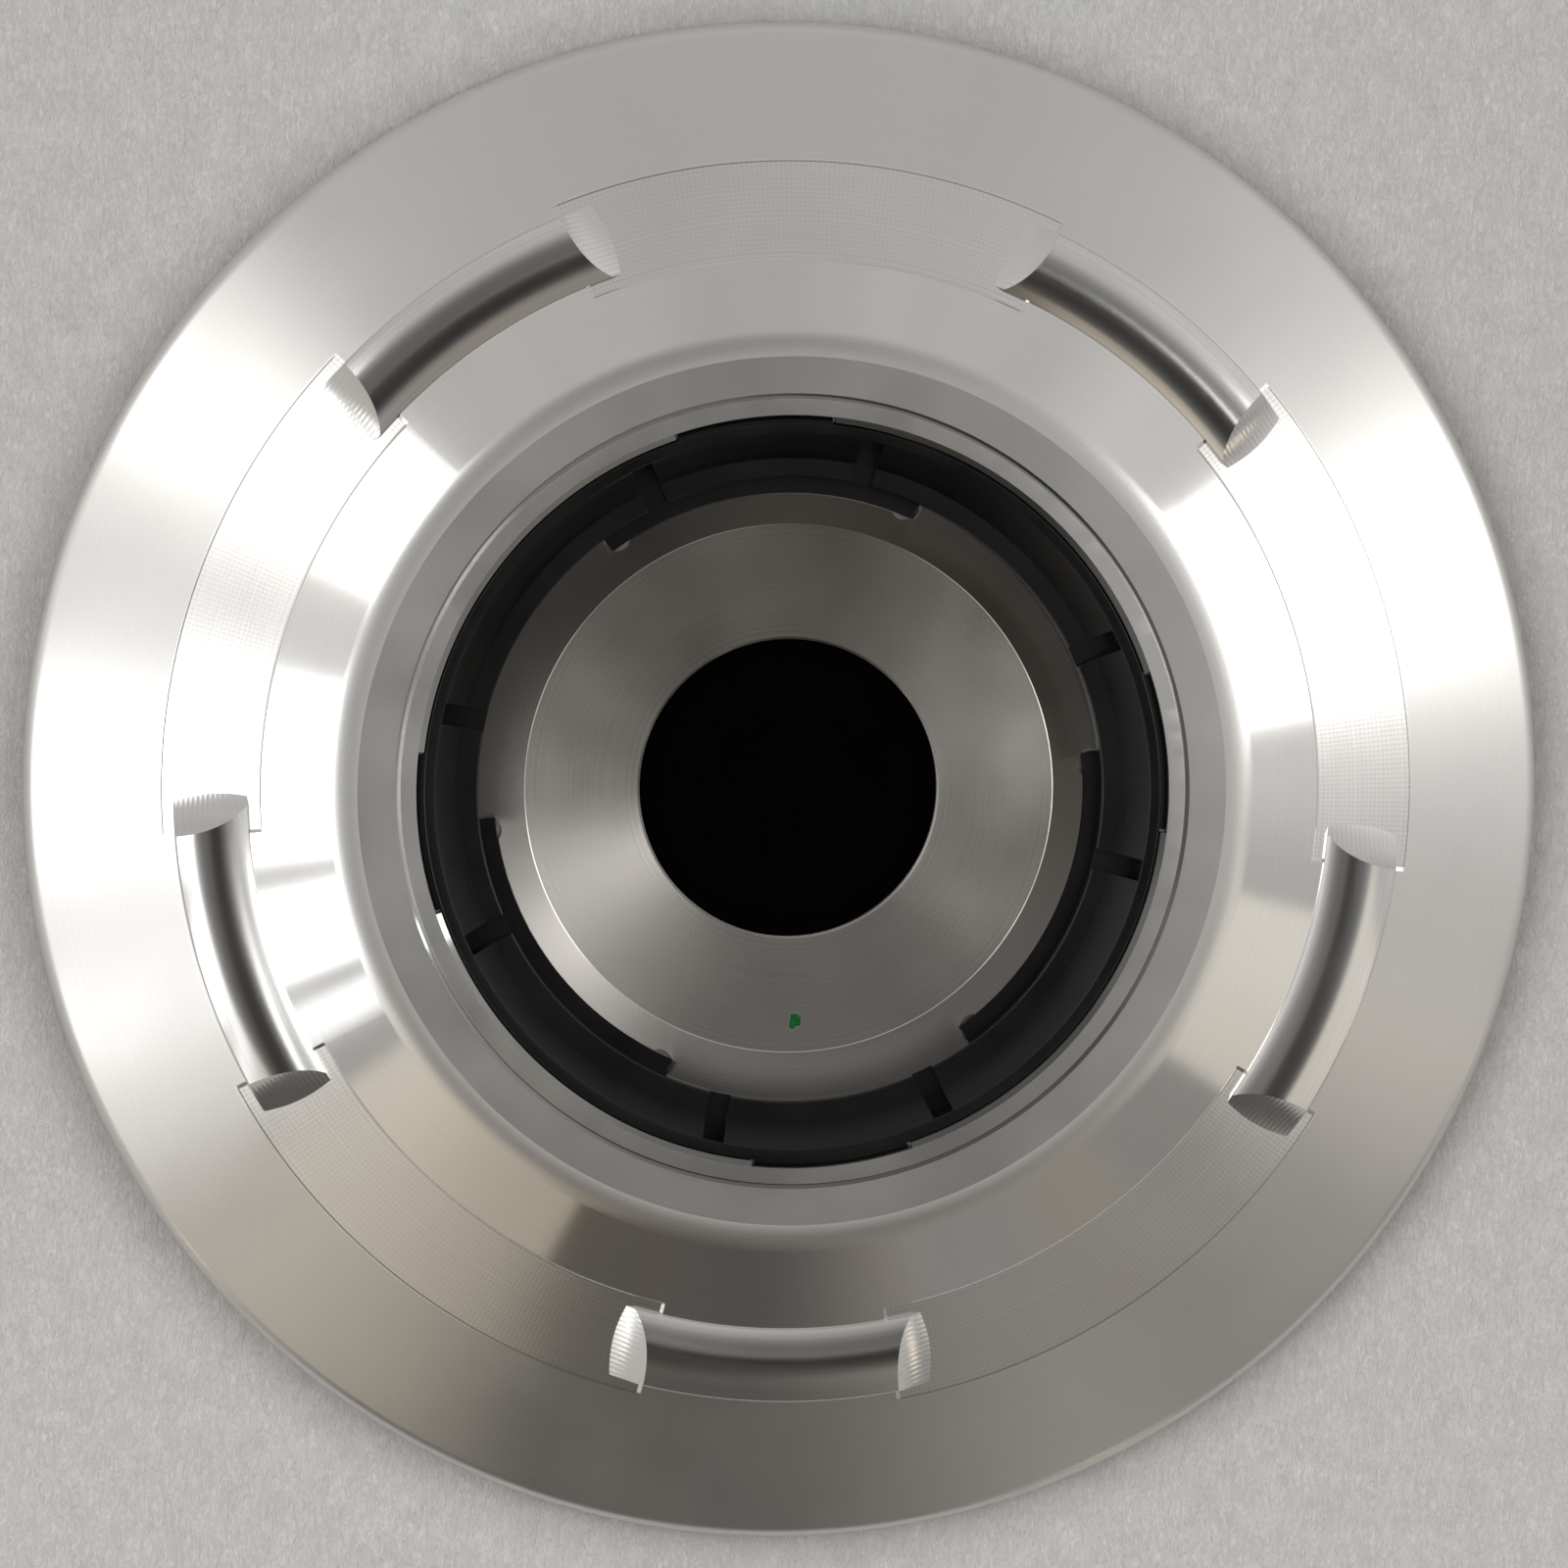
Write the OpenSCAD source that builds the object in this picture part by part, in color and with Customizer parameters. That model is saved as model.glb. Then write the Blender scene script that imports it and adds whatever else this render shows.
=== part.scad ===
// Wheel centre cap, lying front down with its back upwards.
// A turned aluminium disc carries five milled ribs, a flat band, a raised lip and a recessed floor.
// A black clip ring is keyed and snapped into the recess, and a black plug closes the centre hole.
// Millimetres. +Z points out of the back, and the front of the rim rests on Z = 0.

/* [Disc] */
// Outer diameter of the disc
rim_d = 165; // [158:1:180]
// Thickness of the disc at its rim
rim_t = 3; // [2.4:0.1:4]
// Rounding of the rim's two edges
rim_edge_r = 0.6; // [0.2:0.1:1]
// Rise of the outer flange, in degrees
flange_slope = 22.5; // [16:0.5:28]
// Rise of the polished cone inside the flange, in degrees
cone_slope = 15.6; // [10:0.2:20]
// Wall between the back and the dished front
wall_t = 4.4; // [3:0.1:6]
// Width of the flat ring that the front rests on
rest_w = 4; // [2:0.5:8]
// Least width of the outer flange
flange_w_min = 3; // [2:0.5:8]
// Least height of the dished front above the surface that it rests on
front_rise = 0.5; // [0.3:0.1:1]

/* [Ribs] */
// Number of ribs, one between each two wheel bolts
rib_count = 5; // [4:1:6]
// Radius of the middle of the ribs
rib_mid_r = 62.35; // [60:0.05:66]
// Width of a rib
rib_w = 7.9; // [6:0.1:9]
// Height of the step at a rib's inner side
rib_step_h = 0.25; // [0.1:0.05:0.6]
// Radius of a rib's rounded top
rib_top_r = 11.5; // [9:0.5:30]
// How far the crest lies outside the middle of the rib's width
rib_top_shift = -0.3; // [-0.8:0.05:0.4]
// Rounding of the edge above a rib's outer wall
rib_edge_r = 0.4; // [0.2:0.05:0.6]
// Angle that a rib spans at its crest
rib_arc = 24.2; // [16:0.1:28]
// Angle that a rib spans at the foot of its hollow ends
rib_foot_arc = 31.4; // [29:0.1:35]
// Radius of the hollow ends
rib_end_r = 12; // [8:0.5:16]
// Rise at the foot of the hollow ends, in degrees
rib_end_slope = 20; // [15:1:26]
// Depth of the milled fields between the ribs
mill_d = 0.4; // [0.2:0.05:0.8]
// Milled strip on the inner side of a rib
strip_in = 1.5; // [1:0.05:2.5]
// Milled strip on the outer side of a rib
strip_out = 1.45; // [0.6:0.05:2]
// Plain cone between the milled fields and the flange
field_land = 0.8; // [0.4:0.1:1.5]

/* [Band and lip] */
// Outer radius of the flat band
band_r = 46.7; // [45:0.1:49]
// Width of the round between the cone and the band
band_blend = 3; // [1.5:0.1:4.5]
// Outer radius of the raised lip
lip_r = 42.15; // [41.4:0.05:43.5]
// Width of the lip
lip_w = 2.3; // [1.8:0.05:2.8]
// Height of the lip above the band
lip_h = 0.7; // [0.5:0.05:1.2]
// Rounding of the lip's outer edge
lip_edge_r = 0.4; // [0.1:0.05:0.45]
// Width of the slope on the lip's inner edge
lip_slope_w = 0.5; // [0.2:0.05:0.8]
// Fall of the slope on the lip's inner edge
lip_slope_h = 0.25; // [0.1:0.05:0.4]

/* [Recess] */
// Depth of the recess below the band
recess_d = 5.4; // [4.5:0.1:6.5]
// Thickness of the hub under the recess
hub_t = 4.2; // [3.6:0.1:6]
// How far the hub's front face reaches past the lip
hub_past = 2.4; // [1:0.1:4]
// Width of the slope round the hub's front face
hub_slope_w = 2; // [1:0.1:4]
// Radius of the low step in the floor
step_r = 28.6; // [24:0.1:30]
// Height of the low step
step_h = 0.3; // [0.1:0.05:0.5]
// Fall of the turned floor from the step to the hole
floor_fall = 0.9; // [0:0.1:1.2]
// Radius of the centre hole
hole_r = 16.1; // [13:0.1:17]
// Chamfer on the edge of the centre hole
hole_chamfer = 0.25; // [0.1:0.05:0.4]

/* [Clip ring] */
// Turn of the clip ring about the axis, in degrees
clip_turn = 7.9; // [-20:0.1:20]
// Gap between the clip ring and the metal round it
clip_gap = 0.1; // [0.05:0.05:0.2]
// Radius of the opening that the wheel hub enters
clip_bore_r = 33.65; // [33:0.05:34.4]
// Height of the round opening's wall
clip_bore_h = 2.2; // [1.8:0.1:2.8]
// Radius at the foot of the sloping face
clip_ledge_r = 35.7; // [35.3:0.1:36.4]
// Rounding at the mouth of the round opening
clip_nose_r = 0.5; // [0.2:0.1:0.9]
// Height of the ring's top below the lip
clip_drop = 0.5; // [0.2:0.1:1]
// Width of the ring's top edge
clip_edge_w = 1.4; // [1:0.1:2]
// Fall of the top edge towards the opening
clip_edge_fall = 0.2; // [0.1:0.05:0.4]
// Chamfer on the outer corner of the top edge
clip_chamfer = 0.3; // [0.1:0.05:0.5]
// Number of snap fingers
finger_count = 4; // [3:1:4]
// Angle between the slits on both sides of a finger
finger_arc = 38; // [32:0.5:42]
// Width of a slit
slit_w = 2.3; // [1.6:0.1:3]
// Height of the closed ring under the slits
slit_base_h = 1.1; // [0.8:0.1:1.3]
// Wall that closes the slits on the outside
slit_wall = 1.3; // [1:0.1:2]
// Angle that a finger's hook spans
hook_arc = 24; // [16:0.5:27]
// Reach of a hook into the lip
hook_out = 0.5; // [0.3:0.1:1.1]
// Height of a hook
hook_h = 1.8; // [1:0.1:2.4]
// Chamfer on a hook's upper edge
hook_chamfer = 0.4; // [0.2:0.1:0.8]

/* [Keys] */
// Number of feet that key the clip ring to the floor
foot_count = 3; // [2:1:4]
// Angle that a pocket in the floor spans
pocket_arc = 61.5; // [50:0.5:66]
// Radius of a pocket's inner wall
pocket_r = 31.8; // [31.2:0.1:32.4]
// How far a pocket reaches in under the clip ring
pocket_under = 2.35; // [1.5:0.05:4]
// Depth of a pocket
pocket_d = 1.8; // [1:0.1:2]
// How far a foot's top lies below the floor
foot_sunk = 0.3; // [0:0.1:0.8]
// How far behind the opening's wall the feet grow into the ring
foot_root_in = 0.4; // [0.2:0.1:1]
// How far the feet reach up into the ring
foot_root_h = 0.5; // [0.3:0.1:0.8]
// Radius of the tool that leaves the round corner reliefs
relief_r = 1.5; // [0.8:0.05:1.7]
// How far the reliefs run past the pocket's inner wall
relief_past = 0.45; // [0.2:0.05:0.6]
// How far the reliefs run past the pocket's ends
relief_side = 0.2; // [0.1:0.05:0.3]

/* [Plug] */
// Radius of the plug's head in the front
plug_head_r = 20.8; // [19:0.1:24]
// Thickness of the plug's head
plug_head_t = 1.5; // [1.1:0.1:2]
// Wall of the plug's skirt in the hole
plug_wall = 1.3; // [0.8:0.1:2]
// How far the skirt stays below the floor
plug_below = 1; // [0.6:0.1:1.6]
// Least height of the skirt
plug_skirt_h_min = 0.4; // [0.3:0.1:1]
// Gap between the plug and the metal round it
plug_gap = 0.05; // [0.05:0.05:0.15]

/* [Hidden] */
$fn = 180;

rim_r = rim_d / 2;
rib_pitch = 360 / rib_count;
rib_first = -90;
rib_out_r = rib_mid_r + rib_w / 2;
rib_in_r = rib_mid_r - rib_w / 2;
mill_out_r = rib_out_r + strip_out;
mill_in_r = rib_in_r - strip_in;

// The flange meets the cone just outside the milled fields, and keeps its least width on a small disc.
shoulder_r = min(mill_out_r + field_land, rim_r - flange_w_min);
shoulder_z = rim_t + (rim_r - shoulder_r) * tan(flange_slope);
blend_r = band_r + band_blend;
band_z = cone_z(blend_r) + band_blend * tan(cone_slope / 2);
lip_z = band_z + lip_h;
overlap = 1;

// The rounded top starts at the step on the inner side, and a rib is as high as its radius makes it there.
crest_r = rib_mid_r + rib_top_shift;
crest_z = cone_z(rib_in_r) + rib_step_h + rib_top_r - sqrt(pow(rib_top_r, 2) - pow(crest_r - rib_in_r, 2));
// The hollow ends cross the milled fields at the foot, and run on a little way below them.
rib_end_run = rib_end_r * sin(rib_end_slope);
rib_end_arc = rib_foot_arc + 2 * asin(rib_end_run / rib_mid_r);
rib_body_arc = rib_foot_arc + 1.2;

bore_r = lip_r - lip_w;
floor_z = band_z - recess_d;
inner_floor_z = floor_z - step_h;
hole_z = inner_floor_z - floor_fall;
hub_z = floor_z - hub_t;
hub_r = lip_r + hub_past;
trough_z = cone_z(blend_r) - wall_t;

clip_r = bore_r - clip_gap;
clip_top_z = lip_z - clip_drop;
clip_ledge_z = floor_z + clip_bore_h;
hook_r = bore_r + hook_out;
hook_floor_z = clip_top_z - hook_h;
key_first = 90;
// The pockets and the feet in them start at the pocket's wall and end under the clip ring.
key_ring_r = max(clip_bore_r, pocket_r);
key_out_r = key_ring_r + pocket_under;
foot_root_r = key_ring_r + foot_root_in;

// Height of the cone's surface, also where the ribs stand on it.
function cone_z(r) = shoulder_z + (shoulder_r - r) * tan(cone_slope);

// Height of the back's surface outside the band, on the flange or on the cone.
function back_z(r) = r > shoulder_r ? rim_t + (rim_r - r) * tan(flange_slope) : cone_z(r);

// Points of an arc about a centre, from one angle to another.
function arc_points(c, r, a0, a1, n) = [for (i = [0:n]) c + r * [cos(a0 + (a1 - a0) * i / n),
    sin(a0 + (a1 - a0) * i / n)]];

// A ring sector of a profile, centred on an angle.
module sector(arc, at) {
    rotate([0, 0, at - arc / 2]) rotate_extrude(angle = arc) children();
}

// Section of the solid disc, from the rim's front edge over its back to the axis and home along the front.
module disc_outline() {
    blend_bow = band_blend / sin(cone_slope);
    rest_r = rim_r - rest_w;
    polygon(concat(
        [[rest_r, 0]],
        arc_points([rim_r - rim_edge_r, rim_edge_r], rim_edge_r, -90, 0, 6),
        arc_points([rim_r - rim_edge_r, rim_t - rim_edge_r], rim_edge_r, 0, 90 - flange_slope, 5),
        [[shoulder_r, shoulder_z]],
        arc_points([band_r, band_z - blend_bow], blend_bow, 90 - cone_slope, 90, 6),
        [[0, band_z], [0, hub_z], [hub_r, hub_z]],
        [[hub_r + hub_slope_w, trough_z], [blend_r, trough_z]],
        [[min(shoulder_r, rest_r - rim_edge_r), max(shoulder_z - wall_t, front_rise)]]));
}

// Section of the lip round the recess, rounded outside and sloping inside.
module lip_outline() {
    slope_r = bore_r + lip_slope_w;
    polygon(concat(
        [[bore_r - overlap, floor_z], [lip_r, floor_z]],
        arc_points([lip_r - lip_edge_r, lip_z - lip_edge_r], lip_edge_r, 0, 90, 6),
        [[slope_r, lip_z]],
        [[bore_r - overlap, lip_z - lip_slope_h * (1 + overlap / lip_slope_w)]]));
}

// Section of all that is turned away inside: the recess, the stepped floor and the plug's seat.
module recess_outline() {
    seat_r = plug_head_r + plug_gap;
    seat_z = hub_z + plug_head_t;
    polygon([
        [0, hub_z - overlap], [seat_r, hub_z - overlap], [seat_r, seat_z], [hole_r, seat_z],
        [hole_r, hole_z - hole_chamfer], [hole_r + hole_chamfer, hole_z],
        [step_r - step_h, inner_floor_z], [step_r, floor_z], [bore_r, floor_z],
        [bore_r, lip_z + overlap], [0, lip_z + overlap]]);
}

// Section of the turned disc.
module disc_section() {
    difference() {
        union() {
            disc_outline();
            lip_outline();
        }
        recess_outline();
    }
}

// Section of a rib: an upright outer wall, a rounded edge, and a rounded top down to a low inner step.
module rib_section() {
    top_z = crest_z - rib_top_r;
    edge_in = rib_out_r - rib_edge_r - crest_r;
    edge_up = sqrt(pow(rib_top_r - rib_edge_r, 2) - pow(edge_in, 2));
    edge_a = atan2(edge_up, edge_in);
    step_a = 90 + asin((crest_r - rib_in_r) / rib_top_r);
    foot_z = back_z(rib_out_r) - mill_d - overlap;
    polygon(concat(
        [[rib_in_r, foot_z], [rib_out_r, foot_z]],
        arc_points([crest_r + edge_in, top_z + edge_up], rib_edge_r, 0, edge_a, 5),
        [for (i = [1:10]) [crest_r, top_z] + rib_top_r * [cos(edge_a + (step_a - edge_a) * i / 10),
            sin(edge_a + (step_a - edge_a) * i / 10)]]));
}

// One rib, with the hollow that a round tool leaves at each end.
module rib(at) {
    axis_z = cone_z(rib_mid_r) - mill_d + rib_end_r * cos(rib_end_slope) / cos(cone_slope);
    difference() {
        sector(rib_body_arc, at) rib_section();
        for (side = [-1, 1])
            rotate([0, 0, at + side * rib_end_arc / 2]) translate([rib_mid_r, 0, axis_z])
                rotate([0, 90 + cone_slope, 0]) cylinder(h = 3 * rib_w, r = rib_end_r, center = true);
    }
}

// Cutter for the milled field between two ribs.
module milled_field(at) {
    sector(rib_pitch - rib_arc, at) polygon([
        [mill_in_r, cone_z(mill_in_r) - mill_d],
        [mill_out_r, cone_z(mill_out_r) - mill_d],
        [mill_out_r, band_z + overlap],
        [mill_in_r, band_z + overlap]]);
}

// Flat sector of a ring, centred on the X axis.
module flat_sector(r_in, r_out, arc) {
    far = r_out / cos(arc / 2) * 1.1;
    intersection() {
        difference() {
            circle(r = r_out);
            circle(r = r_in);
        }
        polygon([[0, 0], far * [cos(arc / 2), -sin(arc / 2)], far * [cos(arc / 2), sin(arc / 2)]]);
    }
}

// Cutter for one pocket in the floor, with a round relief in each inner corner.
module pocket(at) {
    end_a = pocket_arc / 2 - (relief_r - relief_side) / pocket_r * 180 / PI;
    rotate([0, 0, at]) translate([0, 0, floor_z - pocket_d]) linear_extrude(height = pocket_d + overlap) {
        flat_sector(pocket_r, key_out_r, pocket_arc);
        for (side = [-1, 1])
            rotate(side * end_a) translate([pocket_r + relief_r - relief_past, 0]) circle(r = relief_r);
    }
}

// The turned aluminium disc with its ribs, pockets and lip windows.
module cap_body() {
    color("silver") {
        difference() {
            rotate_extrude() disc_section();
            for (i = [0:rib_count - 1])
                milled_field(rib_first + (i + 0.5) * rib_pitch);
            for (i = [0:foot_count - 1])
                pocket(key_first + clip_turn + i * 360 / foot_count);
            for (i = [0:finger_count - 1])
                sector(hook_arc + 1, clip_turn + i * 360 / finger_count)
                    translate([bore_r - overlap, hook_floor_z - clip_gap])
                        square([overlap + hook_out + clip_gap, lip_z]);
        }
        for (i = [0:rib_count - 1])
            rib(rib_first + i * rib_pitch);
    }
}

// Section of the clip ring: a short bore, a ledge, a sloping face and a rounded top edge.
module clip_section() {
    polygon(concat(
        [[clip_r, floor_z], [clip_r, clip_top_z - clip_chamfer], [clip_r - clip_chamfer, clip_top_z]],
        [[clip_r - clip_edge_w, clip_top_z - clip_edge_fall], [clip_ledge_r, clip_ledge_z]],
        arc_points([clip_bore_r + clip_nose_r, clip_ledge_z - clip_nose_r], clip_nose_r, 90, 180, 5),
        [[clip_bore_r, floor_z]]));
}

// Section of a hook, which stands out of the ring's wall into the lip.
module hook_section() {
    hook_top_z = clip_top_z - clip_edge_fall / 2;
    root_r = clip_r - 2 * clip_chamfer;
    polygon([
        [root_r, hook_floor_z], [hook_r, hook_floor_z], [hook_r, hook_top_z - hook_chamfer],
        [hook_r - hook_chamfer, hook_top_z], [root_r, hook_top_z]]);
}

// The black clip ring with its snap fingers, hooks and feet.
module clip_ring() {
    color([0.08, 0.08, 0.09]) {
        difference() {
            rotate_extrude() clip_section();
            for (i = [0:finger_count - 1], side = [-1, 1])
                rotate([0, 0, clip_turn + i * 360 / finger_count + side * finger_arc / 2])
                    translate([clip_bore_r - overlap, -slit_w / 2, floor_z + slit_base_h])
                        cube([clip_r - slit_wall - clip_bore_r + overlap, slit_w, recess_d]);
        }
        for (i = [0:finger_count - 1])
            sector(hook_arc, clip_turn + i * 360 / finger_count) hook_section();
        for (i = [0:foot_count - 1])
            foot(key_first + clip_turn + i * 360 / foot_count);
    }
}

// One foot, which fills a pocket to its inner wall and stops short of the round corners.
module foot(at) {
    short_a = 2 * clip_gap / pocket_r * 180 / PI;
    sector(pocket_arc - short_a, at) polygon([
        [pocket_r + clip_gap, floor_z - pocket_d],
        [key_out_r - clip_gap, floor_z - pocket_d],
        [key_out_r - clip_gap, floor_z + foot_root_h],
        [foot_root_r, floor_z + foot_root_h],
        [foot_root_r, floor_z - foot_sunk],
        [pocket_r + clip_gap, floor_z - foot_sunk]]);
}

// The black plug: a bare disc in the front with a skirt up into the centre hole.
module centre_plug() {
    skirt_r = hole_r - plug_gap;
    skirt_top_z = max(hole_z - plug_below, hub_z + plug_head_t + plug_skirt_h_min);
    color([0.05, 0.05, 0.05]) rotate_extrude() polygon([
        [0, hub_z],
        [plug_head_r, hub_z],
        [plug_head_r, hub_z + plug_head_t],
        [skirt_r, hub_z + plug_head_t],
        [skirt_r, skirt_top_z],
        [skirt_r - plug_wall, skirt_top_z],
        [skirt_r - plug_wall, hub_z + plug_head_t],
        [0, hub_z + plug_head_t]]);
}

cap_body();
clip_ring();
centre_plug();
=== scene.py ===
"""Dresses and lights a turned aluminium wheel centre cap that lies front down on pale felt."""

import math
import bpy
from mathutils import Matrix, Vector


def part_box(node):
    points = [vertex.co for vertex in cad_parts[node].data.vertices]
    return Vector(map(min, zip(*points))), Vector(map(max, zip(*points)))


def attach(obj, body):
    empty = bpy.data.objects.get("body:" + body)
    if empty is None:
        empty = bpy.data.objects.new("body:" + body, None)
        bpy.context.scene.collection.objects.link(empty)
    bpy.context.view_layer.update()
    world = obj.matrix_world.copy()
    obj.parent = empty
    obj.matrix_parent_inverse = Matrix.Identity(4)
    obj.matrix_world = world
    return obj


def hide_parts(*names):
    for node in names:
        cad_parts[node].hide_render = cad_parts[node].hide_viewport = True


bl_info = {
    "name": "Wheel centre cap",
    "version": (1, 0, 0),
    "blender": (4, 5, 0),
    "location": "3D View > Sidebar > Centre cap",
    "description": "Builds the finished surfaces of a wheel centre cap, and its stage",
    "category": "Object",
}

from types import SimpleNamespace

import bmesh
import bpy
from bpy.props import FloatProperty, FloatVectorProperty, IntProperty, PointerProperty
from mathutils import Matrix, Vector

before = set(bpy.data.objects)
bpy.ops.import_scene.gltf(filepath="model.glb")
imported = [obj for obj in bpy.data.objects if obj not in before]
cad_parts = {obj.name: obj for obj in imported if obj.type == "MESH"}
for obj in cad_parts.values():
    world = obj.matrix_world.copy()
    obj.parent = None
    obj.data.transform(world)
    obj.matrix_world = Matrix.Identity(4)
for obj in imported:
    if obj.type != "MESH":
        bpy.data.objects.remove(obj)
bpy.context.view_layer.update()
DISC_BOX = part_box("cap_body")

BODY = "root"
FULL_TURN = 2 * math.pi
QUARTER_TURN = math.pi / 2
WELD = 2e-6
ARC_STEP = math.radians(3.5)
SWEEP_STEP = math.radians(1.25)
SMOOTH_ANGLE = math.radians(5)
MESH_SQUARE_RADIUS = 0.0623
LAMP_DISTANCE = 1.2


# ---- sizes, finishes and stage settings that a user would change ----

def length(name, description, default):
    return FloatProperty(name=name, description=description, default=default,
                         unit='LENGTH', precision=5)


def angle(name, description, degrees):
    return FloatProperty(name=name, description=description, default=math.radians(degrees),
                         unit='ROTATION')


def colour(name, description, rgb):
    return FloatVectorProperty(name=name, description=description, default=rgb, size=3,
                               min=0, max=1, subtype='COLOR')


def factor(name, description, default):
    return FloatProperty(name=name, description=description, default=default, min=0, max=1,
                         subtype='FACTOR')


class CapSizes(bpy.types.PropertyGroup):
    """Sizes of the cap's metal, clip ring and plug"""

    rim_radius: length("Rim radius", "Outer radius of the disc", DISC_BOX[1][0])
    rim_thickness: length("Rim thickness", "Thickness of the disc at its rim", 0.003)
    rim_edge: length("Rim rounding", "Rounding of the rim's front edge", 0.0006)
    rim_round: length("Rim back rounding", "Rounding of the rim's back edge", 0.0022)
    flange_slope: angle("Flange slope", "Rise of the outer flange", 21.58)
    cone_slope: angle("Cone slope", "Rise of the polished cone", 15.6)
    wall: length("Wall", "Wall between the back and the dished front", 0.0044)
    rest_width: length("Rest width", "Width of the flat ring at the front", 0.004)
    rib_count: IntProperty(name="Ribs", description="Number of ribs", default=5)
    rib_first: angle("First rib", "Direction of the first rib", -90)
    rib_radius: length("Rib radius", "Radius of the middle of the ribs", 0.06235)
    rib_width: length("Rib width", "Width of a rib", 0.0079)
    rib_step: length("Rib step", "Height of the step at a rib's inner side", 0.00025)
    rib_top: length("Rib top radius", "Radius of a rib's rounded top", 0.0115)
    rib_top_shift: length("Rib top shift", "How far the crest lies outside the middle", -0.0003)
    rib_edge: length("Rib edge", "Rounding above a rib's outer wall", 0.0004)
    rib_span: angle("Rib span", "Angle that a rib's crest spans", 24.2)
    rib_foot_span: angle("Rib foot span", "Angle that a rib spans at the foot of its ends", 31.8)
    rib_end: length("Rib end radius", "Radius of the hollow ends", 0.012)
    rib_end_slope: angle("Rib end slope", "Rise at the foot of the hollow ends", 20)
    rib_end_skew: angle("Rib end skew", "Turn of the hollow ends away from the radius", 8)
    mill_depth: length("Mill depth", "Depth of the milled fields", 0.00018)
    mill_corner: length("Mill corner", "Rounding that the tool leaves at a field's edge", 0.0003)
    mill_ease: length("Mill ease", "Width of the slope at the ends of a field", 0.0004)
    strip_inner: length("Inner strip", "Strip on the inner side of a rib", 0.0015)
    strip_outer: length("Outer strip", "Strip on the outer side of a rib", 0.00145)
    band_radius: length("Band radius", "Outer radius of the flat band", 0.0467)
    band_blend: length("Band blend", "Width of the round outside the band", 0.003)
    lip_radius: length("Lip radius", "Outer radius of the raised lip", 0.04215)
    lip_width: length("Lip width", "Width of the lip", 0.0023)
    lip_height: length("Lip height", "Height of the lip above the band", 0.0007)
    lip_edge: length("Lip rounding", "Rounding of the lip's outer edge", 0.00003)
    lip_slope_width: length("Lip slope width", "Width of the slopes outside and inside it", 0.0006)
    lip_slope_height: length("Lip slope height", "Fall of these slopes", 0.00012)
    recess_depth: length("Recess depth", "Depth of the recess below the band", 0.0054)
    hub_thickness: length("Hub thickness", "Thickness of the hub under the recess", 0.0042)
    hub_past: length("Hub past", "How far the hub's front face reaches past the lip", 0.0024)
    hub_slope: length("Hub slope", "Width of the slope round the hub's front face", 0.002)
    step_radius: length("Step radius", "Radius of the low step in the floor", 0.0286)
    step_height: length("Step height", "Height of the low step", 0.0003)
    floor_fall: length("Floor fall", "Fall of the floor from the step to the hole", 0.0009)
    hole_radius: length("Hole radius", "Radius of the centre hole", 0.0161)
    hole_chamfer: length("Hole chamfer", "Chamfer on the hole's edge", 0.00025)
    clip_turn: angle("Clip ring turn", "Turn of the clip ring about the axis", 7.9)
    clip_gap: length("Clip gap", "Gap between the clip ring and the metal", 0.0001)
    clip_bore: length("Clip ring opening", "Radius of the clip ring's opening", 0.03365)
    clip_bore_height: length("Opening height", "Height of the opening's wall", 0.0022)
    clip_ledge: length("Ledge radius", "Radius at the foot of the sloping face", 0.0357)
    clip_nose: length("Opening rounding", "Rounding at the mouth of the opening", 0.00025)
    clip_drop: length("Clip ring drop", "Height of the ring's top below the lip", 0.0005)
    clip_edge: length("Top edge width", "Width of the ring's top edge", 0.0014)
    clip_edge_fall: length("Top edge fall", "Fall of the top edge inwards", 0.0002)
    finger_count: IntProperty(name="Fingers", description="Number of snap fingers", default=4)
    finger_span: angle("Finger span", "Angle between a finger's slits", 38)
    slit_width: length("Slit width", "Width of a slit", 0.0023)
    slit_base: length("Slit base", "Height of the closed ring under the slits", 0.0011)
    slit_wall: length("Slit wall", "Wall that closes the slits on the outside", 0.0013)
    hook_span: angle("Hook span", "Angle that a hook spans", 24)
    hook_reach: length("Hook reach", "Reach of a hook into the lip", 0.0005)
    hook_height: length("Hook height", "Height of a hook", 0.0018)
    hook_chamfer: length("Hook chamfer", "Chamfer on a hook's upper edge", 0.0004)
    foot_count: IntProperty(name="Feet", description="Number of feet and pockets", default=3)
    key_first: angle("First foot", "Direction of the first foot before the ring's turn", 90)
    pocket_span: angle("Pocket span", "Angle that a pocket spans", 61.5)
    pocket_radius: length("Pocket radius", "Radius of a pocket's inner wall", 0.0318)
    pocket_under: length("Pocket under ring", "How far a pocket reaches under the ring", 0.00235)
    pocket_depth: length("Pocket depth", "Depth of a pocket", 0.0018)
    foot_sunk: length("Foot sunk", "How far a foot's top lies below the floor", 0.0003)
    relief_radius: length("Relief radius", "Radius of the corner reliefs", 0.0015)
    relief_past: length("Relief past wall", "How far a relief runs past the wall", 0.00045)
    relief_side: length("Relief past end", "How far a relief runs past the end", 0.0002)
    plug_head_radius: length("Plug head radius", "Radius of the plug's head", 0.0208)
    plug_head: length("Plug head", "Thickness of the plug's head", 0.0015)
    plug_wall: length("Plug wall", "Wall of the plug's skirt", 0.0013)
    plug_below: length("Plug below", "How far the skirt stays below the floor", 0.001)
    plug_gap: length("Plug gap", "Gap between the plug and the metal", 0.00005)


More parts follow.
